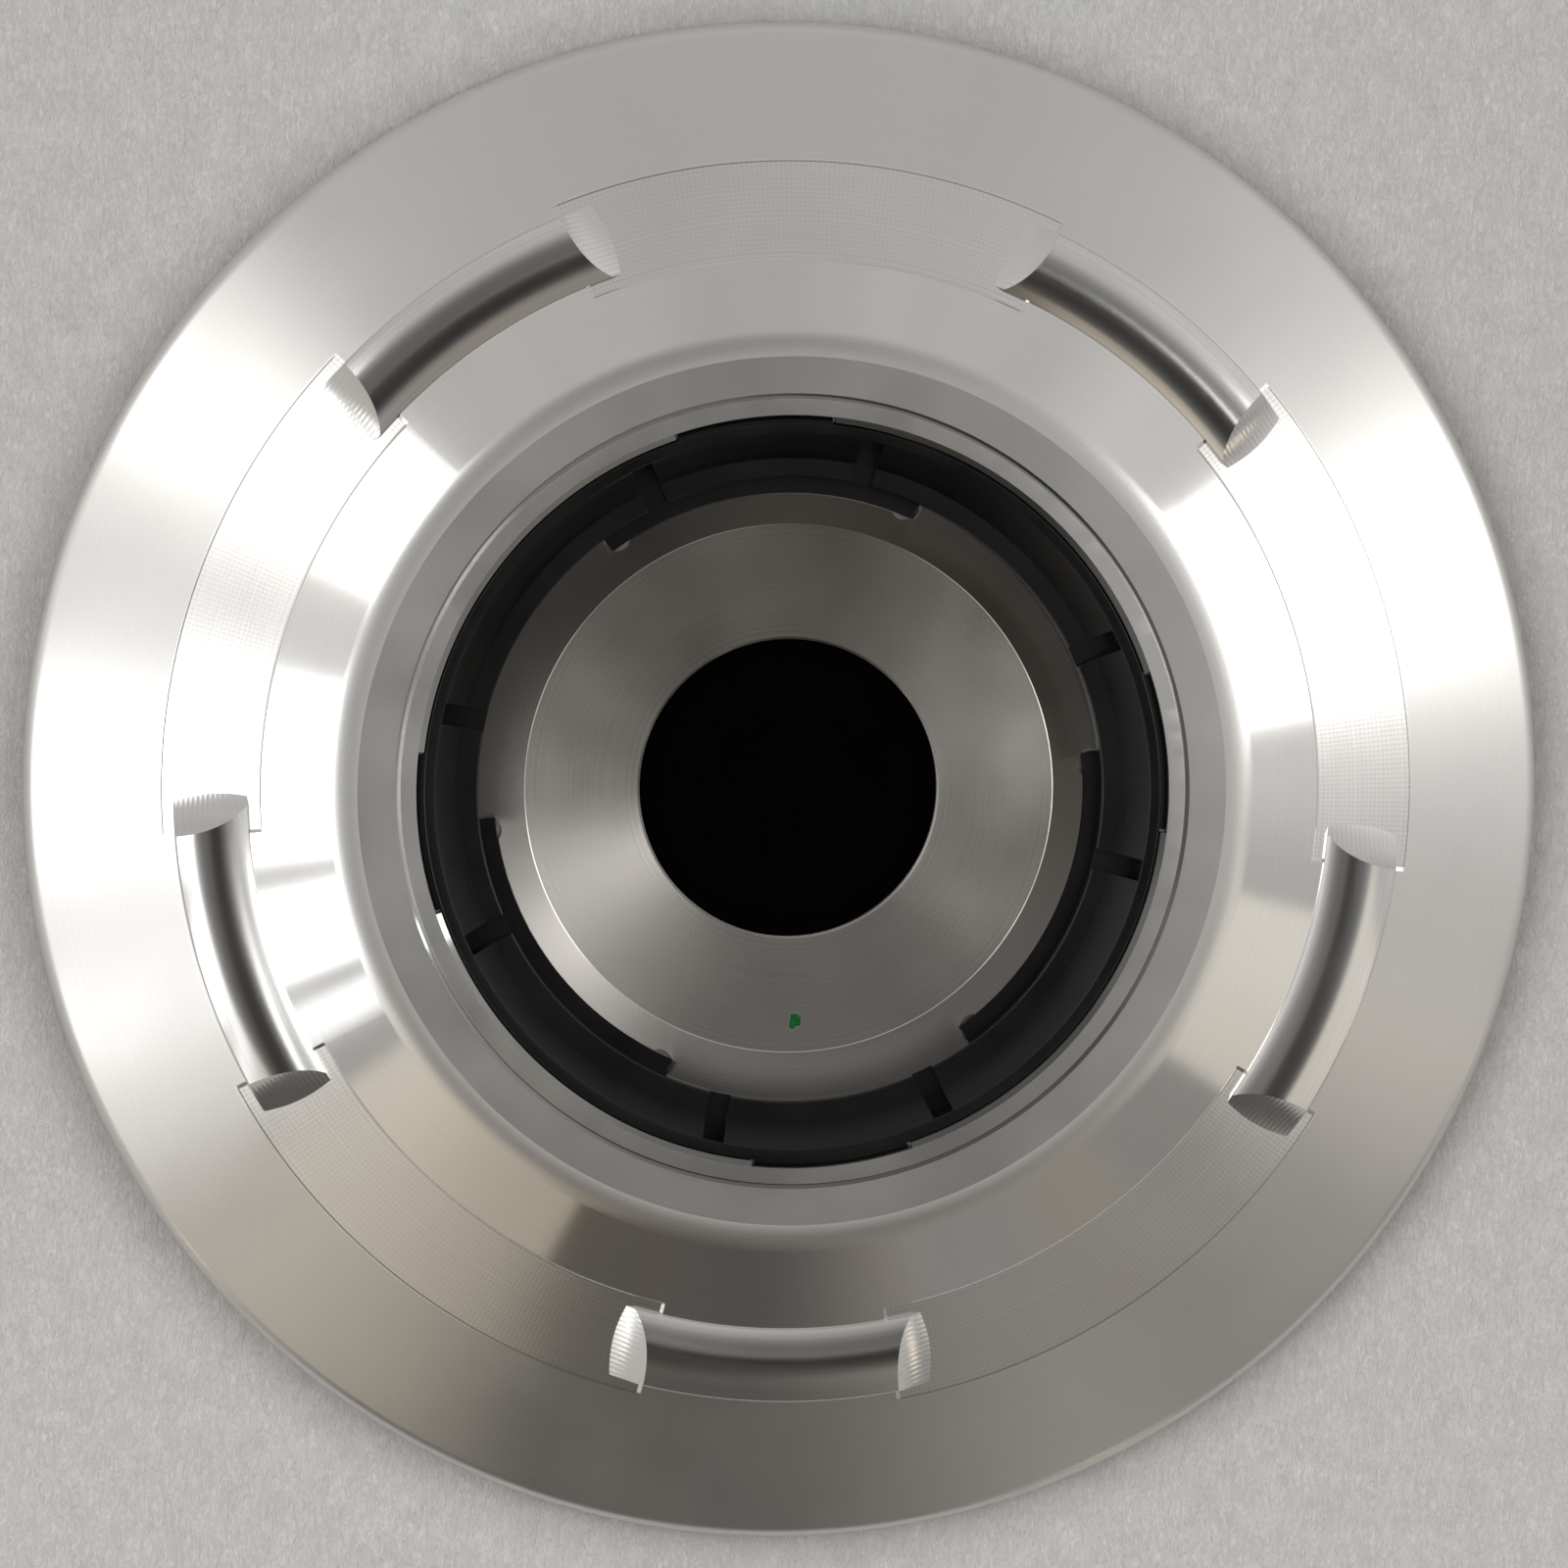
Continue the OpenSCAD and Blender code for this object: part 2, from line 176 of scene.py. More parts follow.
class CapFinish(bpy.types.PropertyGroup):
    """Colours and gloss of the cap's materials"""

    flange: colour("Flange", "Colour of the satin flange", (0.76, 0.75, 0.735))
    flange_roughness: factor("Flange roughness", "Roughness of the satin flange", 0.3)
    cone: colour("Cone", "Colour of the polished cone", (0.79, 0.78, 0.765))
    cone_roughness: factor("Cone roughness", "Roughness of the polished cone", 0.09)
    field: colour("Fields", "Colour of the milled fields", (0.77, 0.76, 0.745))
    field_roughness: factor("Field roughness", "Roughness of the milled fields", 0.2)
    band: colour("Band", "Colour of the flat band", (0.665, 0.655, 0.64))
    band_roughness: factor("Band roughness", "Roughness of the flat band", 0.36)
    lip: colour("Lip", "Colour of the lip", (0.74, 0.73, 0.71))
    lip_roughness: factor("Lip roughness", "Roughness of the lip", 0.3)
    floor: colour("Recess floor", "Colour of the turned floor", (0.66, 0.63, 0.60))
    floor_roughness: factor("Floor roughness", "Roughness of the turned floor", 0.22)
    rib: colour("Ribs", "Colour of the ribs", (0.78, 0.77, 0.76))
    rib_roughness: factor("Rib roughness", "Roughness of the ribs", 0.14)
    ink: colour("Ink", "Colour of the inspection dot", (0.01, 0.16, 0.03))
    clip: colour("Clip ring", "Colour of the clip ring", (0.0022, 0.0024, 0.0028))
    clip_roughness: factor("Clip ring roughness", "Roughness of the clip ring", 0.3)
    plug: colour("Plug", "Colour of the plug", (0.001, 0.001, 0.001))
    felt: colour("Felt", "Colour of the felt underneath", (0.86, 0.855, 0.845))


class StageSettings(bpy.types.PropertyGroup):
    """Camera and lights"""

    lens: FloatProperty(name="Lens", description="Focal length in millimetres", default=190.2)
    distance: length("Camera distance", "Distance from the camera to the cap", 0.9)
    tilt: angle("Camera tilt", "Angle of the camera from the vertical", 6.3)
    tilt_towards: angle("Tilt direction", "Direction that the camera leans towards", 140.1)
    roll: angle("Roll", "Turn of the picture about the line of sight", 1.6)
    sky: FloatProperty(name="Room light", description="Strength of the room's even light",
                       default=0.52)


# ---- levels that follow from the sizes ----

def cap_levels(s):
    """Radii and heights that follow from the sizes."""
    v = SimpleNamespace()
    v.mill_out = s.rib_radius + s.rib_width / 2 + s.strip_outer
    v.mill_in = s.rib_radius - s.rib_width / 2 - s.strip_inner
    v.shoulder_r = s.rib_radius + s.rib_width / 2
    v.flange_z = lambda r: s.rim_thickness + (s.rim_radius - r) * math.tan(s.flange_slope)
    v.shoulder_z = v.flange_z(v.shoulder_r)
    v.cone_z = lambda r: v.shoulder_z + (v.shoulder_r - r) * math.tan(s.cone_slope)
    v.skin_z = lambda r: min(v.flange_z(r), v.cone_z(r))
    v.blend_r = s.band_radius + s.band_blend
    v.band_z = v.cone_z(v.blend_r) + s.band_blend * math.tan(s.cone_slope / 2)
    v.lip_z = v.band_z + s.lip_height
    v.bore_r = s.lip_radius - s.lip_width
    v.floor_z = v.band_z - s.recess_depth
    v.inner_z = v.floor_z - s.step_height
    v.hole_z = v.inner_z - s.floor_fall
    v.hub_z = v.floor_z - s.hub_thickness
    v.trough_z = v.cone_z(v.blend_r) - s.wall
    v.clip_top = v.lip_z - s.clip_drop
    v.hook_z = v.clip_top - s.hook_height
    v.clip_r = v.bore_r - s.clip_gap
    v.key_out = max(s.clip_bore, s.pocket_radius) + s.pocket_under
    v.lip_hub = s.lip_radius + s.hub_past
    v.rib_out, v.rib_in = s.rib_radius + s.rib_width / 2, s.rib_radius - s.rib_width / 2
    v.crest_r = s.rib_radius + s.rib_top_shift
    v.top_z = (v.cone_z(v.rib_in) + s.rib_step
               - math.sqrt(s.rib_top ** 2 - (v.crest_r - v.rib_in) ** 2))
    v.rib_end_turn = (s.rib_foot_span / 2
                      + math.asin(s.rib_end * math.sin(s.rib_end_slope) / s.rib_radius))
    return v


# ---- mesh helpers ----

def arc(centre, radius, start, end, least=3):
    """Points of an arc in the (radius, height) plane, close enough together to look round."""
    steps = max(least, math.ceil(abs(end - start) / ARC_STEP))
    turns = [start + (end - start) * i / steps for i in range(steps + 1)]
    return [(centre[0] + radius * math.cos(t), centre[1] + radius * math.sin(t)) for t in turns]


def polar(r, z, turn):
    return Vector((r * math.cos(turn), r * math.sin(turn), z))


def section_edges(bm, points, turn, closed=True):
    """A section standing in the half plane at one angle, as vertices and edges."""
    verts = [bm.verts.new(polar(r, z, turn)) for r, z in points]
    edges = [bm.edges.new(pair) for pair in zip(verts, verts[1:])]
    if closed:
        edges.append(bm.edges.new((verts[-1], verts[0])))
    return verts, edges


def spin(bm, geom, turn, steps, axis=(0, 0, 1), merge=False):
    """Sweeps geometry about an axis through the origin, and gives its last copy."""
    return bmesh.ops.spin(bm, geom=geom, cent=(0, 0, 0), axis=axis, dvec=(0, 0, 0), angle=turn,
                          space=Matrix.Identity(4), steps=steps, use_merge=merge,
                          use_normal_flip=False, use_duplicate=False)["geom_last"]


def full_spin(bm, points, steps, closed=True):
    """Sweeps a section all the way round the axis."""
    verts, edges = section_edges(bm, points, 0, closed)
    spin(bm, verts + edges, FULL_TURN, steps, merge=True)


def part_spin(bm, geom, turn, step=SWEEP_STEP):
    """Sweeps a section over part of a turn, and gives its last copy."""
    return spin(bm, geom, turn, max(1, math.ceil(abs(turn) / step - 1e-6)))


def closed_sector(bm, points, start, turn, step=SWEEP_STEP):
    """A closed solid: a section swept over part of a turn, with a face at each end."""
    verts, edges = section_edges(bm, points, start)
    part_spin(bm, [bm.faces.new(verts)] + edges + verts, turn, step)


def shade(mesh, angle):
    """Smooth shading, with an edge kept sharp where its faces turn by more than the angle."""
    mesh.shade_smooth()
    mesh.set_sharp_from_angle(angle=angle)


def make_object(bm, name, materials):
    """Welds, turns the faces outwards and links the mesh as an object at the origin."""
    bmesh.ops.remove_doubles(bm, verts=bm.verts, dist=WELD)
    bmesh.ops.dissolve_degenerate(bm, edges=bm.edges, dist=WELD)
    bmesh.ops.recalc_face_normals(bm, faces=bm.faces)
    mesh = bpy.data.meshes.new(name)
    bm.to_mesh(mesh)
    bm.free()
    for material in materials:
        mesh.materials.append(material)
    shade(mesh, SMOOTH_ANGLE)
    obj = bpy.data.objects.new(name, mesh)
    bpy.context.scene.collection.objects.link(obj)
    return obj


def carve(obj, cutter):
    """Cuts one object with another, keeps the result in the mesh and removes the cutter."""
    modifier = obj.modifiers.new("cut", 'BOOLEAN')
    modifier.object = cutter
    modifier.operation = 'DIFFERENCE'
    modifier.solver = 'EXACT'
    graph = bpy.context.evaluated_depsgraph_get()
    cut = bpy.data.meshes.new_from_object(obj.evaluated_get(graph))
    obj.modifiers.clear()
    old = obj.data
    obj.data = cut
    cut.name = obj.name
    bpy.data.meshes.remove(old)
    spare = cutter.data
    bpy.data.objects.remove(cutter)
    bpy.data.meshes.remove(spare)
    shade(cut, SMOOTH_ANGLE)


def dress(obj, slot, *nodes):
    """Puts a piece on its body and hides the solids that it stands for; the material slot is not
    used.
    """
    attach(obj, BODY)
    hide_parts(*nodes)


# ---- material helpers ----

class Nodes:
    """A node tree, with short calls that add and join nodes."""

    def __init__(self, owner, shader):
        owner.use_nodes = True
        self.owner = owner
        self.tree = owner.node_tree
        self.shader = self.tree.nodes[shader]

    def add(self, kind, inputs=(), **settings):
        node = self.tree.nodes.new(kind)
        for key, value in settings.items():
            setattr(node, key, value)
        for key, value in dict(inputs).items():
            if isinstance(value, bpy.types.NodeSocket):
                self.tree.links.new(value, node.inputs[key])
            else:
                node.inputs[key].default_value = value
        return node

    def math(self, operation, a, b=0.0, c=0.0):
        return self.add("ShaderNodeMath", {0: a, 1: b, 2: c}, operation=operation).outputs[0]

    def noise(self, vector, scale, detail=2.0, roughness=0.5, distortion=0.0):
        return self.add("ShaderNodeTexNoise", {"Vector": vector, "Scale": scale, "Detail": detail,
                                               "Roughness": roughness,
                                               "Distortion": distortion}).outputs["Fac"]

    def ramp(self, value, low, high, out_low=0.0, out_high=1.0, kind='LINEAR'):
        return self.add("ShaderNodeMapRange", {"Value": value, "From Min": low, "From Max": high,
                                               "To Min": out_low, "To Max": out_high},
                        interpolation_type=kind).outputs[0]

    def vector(self, operation, inputs, output="Vector"):
        return self.add("ShaderNodeVectorMath", inputs, operation=operation).outputs[output]

    def split(self, vector):
        """The three components of a vector."""
        return self.add("ShaderNodeSeparateXYZ", {"Vector": vector}).outputs[:3]

    def flat(self, x, y):
        """A vector without height."""
        return self.add("ShaderNodeCombineXYZ", {"X": x, "Y": y}).outputs[0]

    def mix(self, amount, low, high):
        """A colour between two colours."""
        return self.add("ShaderNodeMix", {0: amount, 6: low, 7: high}, data_type='RGBA').outputs[2]

    def bump(self, height, strength=1.0):
        return self.add("ShaderNodeBump", {"Strength": strength, "Distance": 1.0,
                                           "Height": height}).outputs[0]

    def point(self):
        return self.add("ShaderNodeTexCoord").outputs["Object"]

    def about_axis(self, point):
        """A point's distance from the axis and its direction about the axis."""
        x, y, _ = self.split(point)
        radius = self.vector('LENGTH', {0: self.flat(x, y)}, "Value")
        return radius, self.math('ARCTAN2', y, x)

    def set(self, **values):
        for key, value in values.items():
            socket = self.shader.inputs[key.replace("_", " ")]
            if isinstance(value, bpy.types.NodeSocket):
                self.tree.links.new(value, socket)
            else:
                socket.default_value = value

    def tint(self, rgb, amount, low, high):
        """A colour that a pattern makes darker and lighter."""
        dark = [c * low for c in rgb] + [1]
        light = [min(1, c * high) for c in rgb] + [1]
        return self.mix(amount, dark, light)


def material_nodes(name):
    return Nodes(bpy.data.materials.new(name), "Principled BSDF")


# shares of the rings, the clouds and the milled mesh in the tone of a turned surface
RING_TONE, CLOUD_TONE, MESH_TONE = 0.65, 0.35, 0.08
# broad waves beside the fine rings: how many and how deep, against the rings
BROAD_COUNT, BROAD_DEPTH = 0.12, 2.5
CLOUD_SCALE = 70.0


def with_ink(n, point, base, ink):
    """Lays a mottled ink spot on a colour, and gives the colour and how metallic it is."""
    rgb, at, size = ink
    x, y, _ = n.split(point)
    wobble = n.noise(point, 1600.0, detail=2.0)
    dx = n.math('DIVIDE', n.math('SUBTRACT', x, at[0]), size[0])
    dy = n.math('DIVIDE', n.math('SUBTRACT', y, at[1]), size[1])
    far = n.math('SQRT', n.math('ADD', n.math('POWER', dx, 2.0), n.math('POWER', dy, 2.0)))
    far = n.math('MULTIPLY_ADD', n.math('SUBTRACT', wobble, 0.5), 1.6, far)
    spot = n.ramp(far, 1.1, 0.85)
    mottle = n.ramp(n.noise(point, 3500.0), 0.35, 0.65)
    inked = n.mix(mottle, [c * 0.4 for c in rgb] + [1], list(rgb) + [1])
    return n.mix(spot, base, inked), n.math('SUBTRACT', 1.0, spot)


def turned_metal(name, rgb, roughness, anisotropy, ring_depth=0.0, ring_pitch=4e-4, cloud=0.04,
                 mesh_pitch=0.0, mesh_depth=(0, 0), ink=None, fade=None):
    """Turned aluminium with fine rings about the axis and faint clouds.

    mesh_pitch and mesh_depth add a milled mesh, ink adds a spot of ink, and fade lets the
    roughness run from one value to another between two radii.
    """
    n = material_nodes(name)
    point = n.point()
    radius, turn = n.about_axis(point)
    rings_at = n.flat(radius, 0.0)
    fine = n.noise(rings_at, 1.0 / ring_pitch, detail=3.0, roughness=0.7)
    broad = n.noise(rings_at, BROAD_COUNT / ring_pitch)
    clouds = n.noise(point, CLOUD_SCALE)
    height = n.math('MULTIPLY', fine, ring_depth)
    height = n.math('MULTIPLY_ADD', broad, ring_depth * BROAD_DEPTH, height)
    tone = n.math('MULTIPLY_ADD', fine, RING_TONE, n.math('MULTIPLY', clouds, CLOUD_TONE))
    if mesh_pitch:
        waves = FULL_TURN / mesh_pitch
        radial = n.math('SINE', n.math('MULTIPLY', radius, waves))
        across = n.math('SINE', n.math('MULTIPLY', turn, waves * MESH_SQUARE_RADIUS))
        height = n.math('MULTIPLY_ADD', radial, mesh_depth[0], height)
        height = n.math('MULTIPLY_ADD', across, mesh_depth[1], height)
        tone = n.math('MULTIPLY_ADD', n.math('ADD', radial, across), MESH_TONE, tone)
    base = n.tint(rgb, n.ramp(tone, 0.1, 0.9), 1 - 2 * cloud, 1 + 2 * cloud)
    rough = n.ramp(clouds, 0.0, 1.0, roughness * 0.75, roughness * 1.25)
    if fade:
        rough = n.ramp(radius, fade[0], fade[1], roughness, fade[2])
    metallic = 1.0
    if ink:
        base, metallic = with_ink(n, point, base, ink)
    tangent = n.add("ShaderNodeTangent", direction_type='RADIAL', axis='Z').outputs[0]
    n.set(Base_Color=base, Metallic=metallic, Roughness=rough, Anisotropic=anisotropy,
          Anisotropic_Rotation=0.25, Tangent=tangent, Normal=n.bump(height))
    return n.owner


def moulded_plastic(name, rgb, roughness, specular):
    """Black moulded plastic with a faint grain and slight wear in its gloss."""
    n = material_nodes(name)
    point = n.point()
    grain_depth = 4e-6
    height = n.math('MULTIPLY', n.noise(point, 5000.0, detail=2.0), grain_depth)
    wear = n.ramp(n.noise(point, 140.0, detail=4.0), 0.3, 0.7)
    rough = n.ramp(wear, 0.0, 1.0, roughness * 0.85, roughness * 1.15)
    n.set(Base_Color=n.tint(rgb, wear, 0.8, 1.25), Roughness=rough,
          Specular_IOR_Level=specular, Normal=n.bump(height))
    return n.owner


# ---- the turned disc ----

DISC_ZONES = ["front", "flange", "cone", "field", "blend", "band", "edge", "lip", "wall", "floor",
              "inner_floor"]


def disc_section(s, v, milled, window, pocket):
    """Stations of the disc's section, each with the zone of the surface that starts there.

    Every state of the section has the same stations, so that one can be drawn out into the next.
    """
    stations = []

    def run(zone, *points):
        stations.extend((r, z, zone) for r, z in points)

    def between(a, b, count):
        return [(a[0] + (b[0] - a[0]) * i / count, a[1] + (b[1] - a[1]) * i / count)
                for i in range(1, count)]

    edge = s.rim_edge
    step_left, step_ease = 0.00003, 0.0001
    least_front_z = 0.0005
    drop = s.mill_depth if milled else 0
    outer = (v.mill_out, v.skin_z(v.mill_out))
    inner = (v.mill_in, v.cone_z(v.mill_in))
    corner = s.mill_corner

    def sunk(r, rise=0.0):
        return r, min(v.skin_z(r), v.cone_z(r) - drop + rise)

    bend = [(corner * (1 - math.cos(a)), corner * (1 - math.sin(a)))
            for a in (QUARTER_TURN * i / 4 for i in range(5))]
    bow = s.band_blend / math.sin(s.cone_slope)
    window_r = v.bore_r + s.hook_reach + s.clip_gap
    window_z = v.hook_z - s.clip_gap
    pocket_z = v.floor_z - (s.pocket_depth if pocket else 0)
    seat_r, seat_z = s.plug_head_radius + s.plug_gap, v.hub_z + s.plug_head

    run("front", (s.rim_radius - s.rest_width, 0))
    run("flange", *arc((s.rim_radius - edge, edge), edge, -QUARTER_TURN, 0))
    round_r = s.rim_radius - s.rim_round
    round_z = v.flange_z(round_r) - s.rim_round / math.cos(s.flange_slope)
    run("flange", *arc((round_r, round_z), s.rim_round, 0, QUARTER_TURN - s.flange_slope))
    run("flange", *between(stations[-1][:2], outer, 4), outer)
    run("field", *[sunk(v.mill_out - across, up) for across, up in bend])
    run("field", *[sunk(v.shoulder_r + (v.mill_in - v.shoulder_r) * i / 4) for i in range(4)])
    run("field", *[sunk(v.mill_in + across, up) for across, up in reversed(bend)])
    run("cone", inner, *between(inner, (v.blend_r, v.cone_z(v.blend_r)), 3))
    run("blend", *arc((s.band_radius, v.band_z - bow), bow, QUARTER_TURN - s.cone_slope,
                      QUARTER_TURN, 14))
    run("band", (s.band_radius, v.band_z), ((s.band_radius + s.lip_radius) / 2, v.band_z))
    run("edge", (s.lip_radius + s.lip_slope_width, v.band_z))
    run("lip", (s.lip_radius, v.band_z - s.lip_slope_height))
    run("lip", *arc((s.lip_radius - s.lip_edge, v.lip_z - s.lip_edge), s.lip_edge, 0, QUARTER_TURN))
    wall_r = window_r if window else v.bore_r
    run("edge", (window_r if window else v.bore_r + s.lip_slope_width, v.lip_z))
    run("wall", (wall_r, v.lip_z - s.lip_slope_height), (wall_r, window_z), (v.bore_r, window_z))
    run("floor", (v.bore_r, v.floor_z), (v.key_out, v.floor_z), (v.key_out, pocket_z),
        (s.pocket_radius, pocket_z), (s.pocket_radius, v.floor_z),
        (s.step_radius, v.inner_z + step_left))
    rim_of_hole = (s.hole_radius + s.hole_chamfer, v.hole_z)
    low_step = (s.step_radius - step_ease, v.inner_z)
    run("inner_floor", low_step, *between(low_step, rim_of_hole, 4))
    run("inner_floor", rim_of_hole)
    run("wall", (s.hole_radius, v.hole_z - s.hole_chamfer), (s.hole_radius, seat_z))
    run("front", (seat_r, seat_z), (seat_r, v.hub_z), (v.lip_hub, v.hub_z))
    run("front", (v.lip_hub + s.hub_slope, v.trough_z), (v.blend_r, v.trough_z))
    run("front", (v.shoulder_r, max(v.shoulder_z - s.wall, least_front_z)))
    return stations


def spans(count, first, width):
    """Start and end of each of several equal spans about the axis."""
    middles = [first + i * FULL_TURN / count for i in range(count)]
    return [(middle - width / 2, middle + width / 2) for middle in middles]


def inside(turn, ranges):
    """Whether a direction lies in one of the spans."""
    return any((turn - a) % FULL_TURN < (b - a) for a, b in ranges)


def turned_disc_mesh(s, v):
    """The disc, swept round in pieces, with the section drawn in or out at each end of a cut."""
    rib_spans = spans(s.rib_count, s.rib_first, s.rib_span)
    window_spans = spans(s.finger_count, s.clip_turn, s.hook_span + math.radians(1))
    pocket_spans = spans(s.foot_count, s.key_first + s.clip_turn, s.pocket_span)
    rib_ends = {round(a % FULL_TURN, 9) for pair in rib_spans for a in pair}
    breaks = sorted({round(a % FULL_TURN, 9) for pair in rib_spans + window_spans + pocket_spans
                     for a in pair})
    breaks.append(breaks[0] + FULL_TURN)

    def state(turn):
        return not inside(turn, rib_spans), inside(turn, window_spans), inside(turn, pocket_spans)

    half_ease = s.mill_ease / s.rib_radius / 2
    ease = {a: half_ease if round(a % FULL_TURN, 9) in rib_ends else 0 for a in breaks}
    bm = bmesh.new()
    station = bm.verts.layers.int.new("station")
    now = start_state = state((breaks[0] + breaks[1]) / 2)
    stations = disc_section(s, v, *now)
    verts, edges = section_edges(bm, [p[:2] for p in stations], breaks[0] + ease[breaks[0]])
    for index, vert in enumerate(verts):
        vert[station] = index
    geom = verts + edges
    for a, b in zip(breaks, breaks[1:]):
        start, end = a + ease[a], b - ease[b]
        wanted = state((a + b) / 2)
        if wanted != now:
            geom = draw_to(bm, geom, disc_section(s, v, *wanted), start, station)
            now = wanted
        geom = part_spin(bm, geom, end - start)
    draw_to(bm, geom, disc_section(s, v, *start_state), breaks[-1] + ease[breaks[0]], station)
    last = len(stations) - 1
    for face in bm.faces:
        found = {vert[station] for vert in face.verts}
        start = last if found == {0, last} else min(found)
        zone = stations[start][2]
        middle = face.calc_center_median()
        if zone == "field" and inside(math.atan2(middle.y, middle.x), rib_spans):
            zone = "flange" if math.hypot(middle.x, middle.y) > v.shoulder_r else "cone"
        face.material_index = DISC_ZONES.index(zone)
    return bm


def draw_to(bm, geom, stations, turn, station):
    """Draws the last section out into another state of it, which stands at the given angle."""
    edges = [g for g in geom if isinstance(g, bmesh.types.BMEdge)]
    drawn = bmesh.ops.extrude_edge_only(bm, edges=edges)["geom"]
    for vert in drawn:
        if isinstance(vert, bmesh.types.BMVert):
            r, z = stations[vert[station]][:2]
            vert.co = polar(r, z, turn)
    return [g for g in drawn if not isinstance(g, bmesh.types.BMFace)]


def relief_cutter(s, v):
    """Round cutters for the corners of the pockets."""
    bm = bmesh.new()
    offset = s.pocket_span / 2 - (s.relief_radius - s.relief_side) / s.pocket_radius
    at = s.pocket_radius + s.relief_radius - s.relief_past
    depth = s.pocket_depth * 2
    for i in range(s.foot_count):
        middle = s.key_first + s.clip_turn + i * FULL_TURN / s.foot_count
        for side in (-1, 1):
            place = Matrix.Translation(polar(at, v.floor_z - s.pocket_depth - WELD + depth / 2,
                                             middle + side * offset))
            made = bmesh.ops.create_cone(bm, cap_ends=True, segments=72, radius1=s.relief_radius,
                                         radius2=s.relief_radius, depth=depth, matrix=place)
            for face in {f for vert in made["verts"] for f in vert.link_faces}:
                face.material_index = DISC_ZONES.index("wall")
    return make_object(bm, "relief_cutter", [])


class CAP_OT_turned_disc(bpy.types.Operator):
    """Turn the aluminium disc, with its milled fields, lip windows and pockets"""

    bl_idname = "cap.turned_disc"
    bl_label = "Turned disc"

    def execute(self, context):
        s, f = context.scene.cap_sizes, context.scene.cap_finish
        v = cap_levels(s)
        ink_at, ink_size = (0.00148, -0.02513), (0.0007, 0.0009)
        # painted shade: the lip's polished edge slopes take a darker grey than the lip, standing in
        # for the shade along the lip's edges
        painted_shade_edge_grey = (0.45, 0.445, 0.435)
        materials = {
            "front": turned_metal("front_satin", f.flange, 0.32, 0.5, 6e-7),
            "flange": turned_metal("flange_satin", f.flange, f.flange_roughness, 0.6),
            "cone": turned_metal("cone_polish", f.cone, f.cone_roughness, 0.35, 2.5e-7),
            "field": turned_metal("field_mesh", f.field, f.field_roughness, 0.2, 2e-7, cloud=0.07,
                                  mesh_pitch=4.9e-4, mesh_depth=(7e-7, 3e-7)),
            "blend": turned_metal("blend_satin", f.cone, 0.44, 0.2, 2e-7,
                                  fade=(s.band_radius, v.blend_r, f.cone_roughness * 1.5)),
            "band": turned_metal("band_satin", f.band, f.band_roughness, 0.3, 2.5e-7),
            "edge": turned_metal("edge_polish_painted_shade", painted_shade_edge_grey, 0.05, 0.0),
            "lip": turned_metal("lip_turned", f.lip, f.lip_roughness, 0.5, 6e-7, 2e-4),
            "wall": turned_metal("wall_turned", f.band, f.band_roughness, 0.3, 5e-7, 3e-4),
            "floor": turned_metal("floor_turned", f.floor, 0.13, 0.0, 0, 3e-4, cloud=0.1),
            "inner_floor": turned_metal("inner_floor_turned", f.floor, f.floor_roughness, 0.88, 0,
                                        3e-4, cloud=0.14, ink=(f.ink, ink_at, ink_size)),
        }
        obj = make_object(turned_disc_mesh(s, v), "turned_disc",
                          [materials[zone] for zone in DISC_ZONES])
        carve(obj, relief_cutter(s, v))
        dress(obj, "turned_aluminium", "cap_body")
        return {'FINISHED'}


# ---- the ribs ----

def rib_section_points(s, v):
    """Section of a rib: an upright outer wall, a rounded edge and top, and a low inner step."""
    edge_in = v.rib_out - s.rib_edge - v.crest_r
    edge_up = math.sqrt((s.rib_top - s.rib_edge) ** 2 - edge_in ** 2)
    edge_turn = math.atan2(edge_up, edge_in)
    step_turn = QUARTER_TURN + math.asin((v.crest_r - v.rib_in) / s.rib_top)
    root = 0.001
    foot_z = v.cone_z(v.rib_out) - s.mill_depth - root
    edge = arc((v.crest_r + edge_in, v.top_z + edge_up), s.rib_edge, 0, edge_turn)
    top = arc((v.crest_r, v.top_z), s.rib_top, edge_turn, step_turn, 24)
    return [(v.rib_in, foot_z), (v.rib_out, foot_z), *edge, *top[1:]]


def end_tool(s, v, side, materials):
    """The round tool that hollows one end of the first rib: bowed, with marks of its passes."""
    bm = bmesh.new()
    pitch, mark, waist, thinner = 0.00055, 0.000005, 0.045, 0.00015
    half, step = 0.75 * s.rib_width, pitch / 6
    middle = s.rib_end * math.tan(s.cone_slope)
    points = []
    for i in range(int(2 * half / step) + 1):
        x = -half + i * step
        wave = mark * (1 + math.cos(FULL_TURN * x / pitch))
        points.append((x + middle, s.rib_end - thinner - wave + x ** 2 / (2 * waist)))
    axis_z = (v.cone_z(s.rib_radius) - s.mill_depth
              + s.rib_end * math.cos(s.rib_end_slope) / math.cos(s.cone_slope))
    points = [(points[0][0], 0), *points, (points[-1][0], 0)]
    verts = [bm.verts.new((x, 0, -r)) for x, r in points]
    edges = [bm.edges.new(pair) for pair in zip(verts, verts[1:])]
    spin(bm, verts + edges, FULL_TURN, 240, axis=(1, 0, 0), merge=True)
    for face in bm.faces:
        face.material_index = 1
    bm.transform(Matrix.Rotation(s.rib_first + side * v.rib_end_turn, 4, 'Z')
                 @ Matrix.Translation((s.rib_radius, 0, axis_z))
                 @ Matrix.Rotation(-side * s.rib_end_skew, 4, 'Z')
                 @ Matrix.Rotation(s.cone_slope, 4, 'Y'))
    return make_object(bm, "end_tool", materials)


